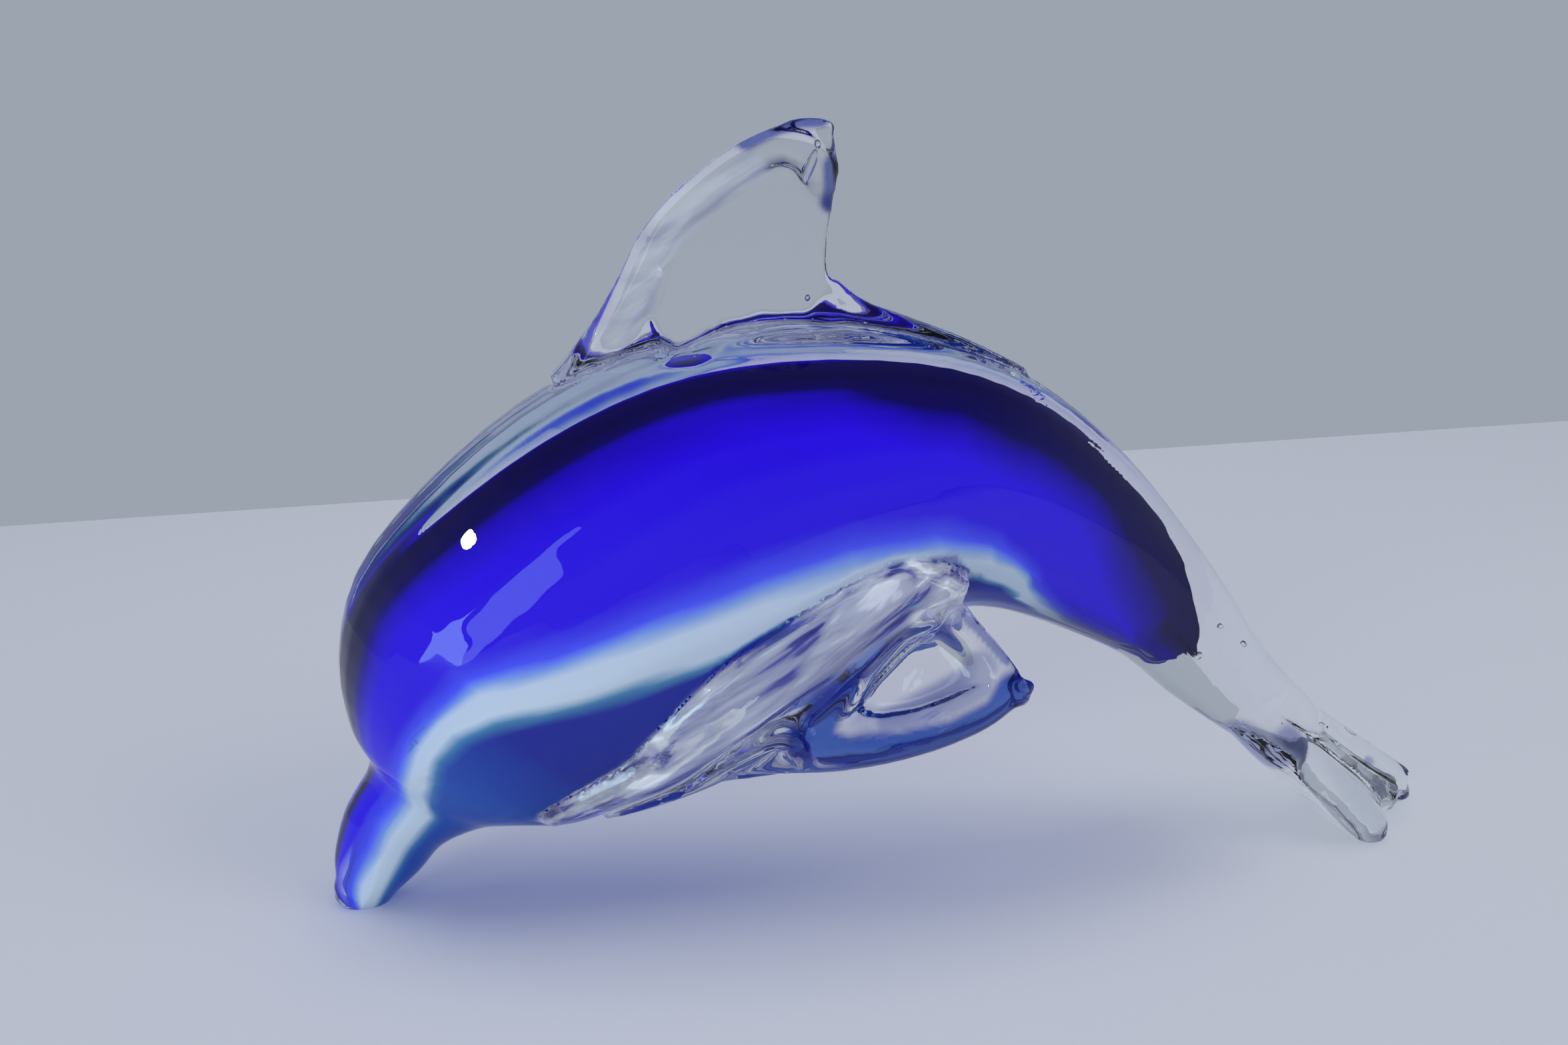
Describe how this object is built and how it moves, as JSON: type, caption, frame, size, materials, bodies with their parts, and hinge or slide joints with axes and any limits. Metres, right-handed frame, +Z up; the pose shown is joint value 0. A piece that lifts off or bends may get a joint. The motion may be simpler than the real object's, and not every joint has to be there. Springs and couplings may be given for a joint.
{
  "type": "glass dolphin figurine",
  "caption": "Arched dolphin figurine of cased glass, a white and cobalt core in clear crystal with fused clear fins and flukes, standing on its beak and tail.",
  "frame": {"origin": "centre of the bounding box on the table surface that the beak and flukes stand on", "axes": "+Z up, X along the figurine with the head towards -X and the tail towards +X, Y across the body with the dolphin's left side towards -Y"},
  "size_m": [0.1248, 0.0366, 0.0825],
  "materials": {
    "clear_crystal": "fire-polished clear glass",
    "fin_crystal": "fire-polished clear glass with tooled ridges",
    "cobalt_glass": "deep cobalt blue glass",
    "opal_glass": "opaque white opal glass with a blue cast"
  },
  "bodies": {
    "root": {"crystal_casing": "clear_crystal", "cobalt_overlay": "cobalt_glass", "opal_core": "opal_glass", "dorsal_fin": "fin_crystal", "pectoral_fin_left": "fin_crystal", "pectoral_fin_right": "fin_crystal", "tail_fluke_left": "fin_crystal", "tail_fluke_right": "fin_crystal"}
  },
  "joints": []
}
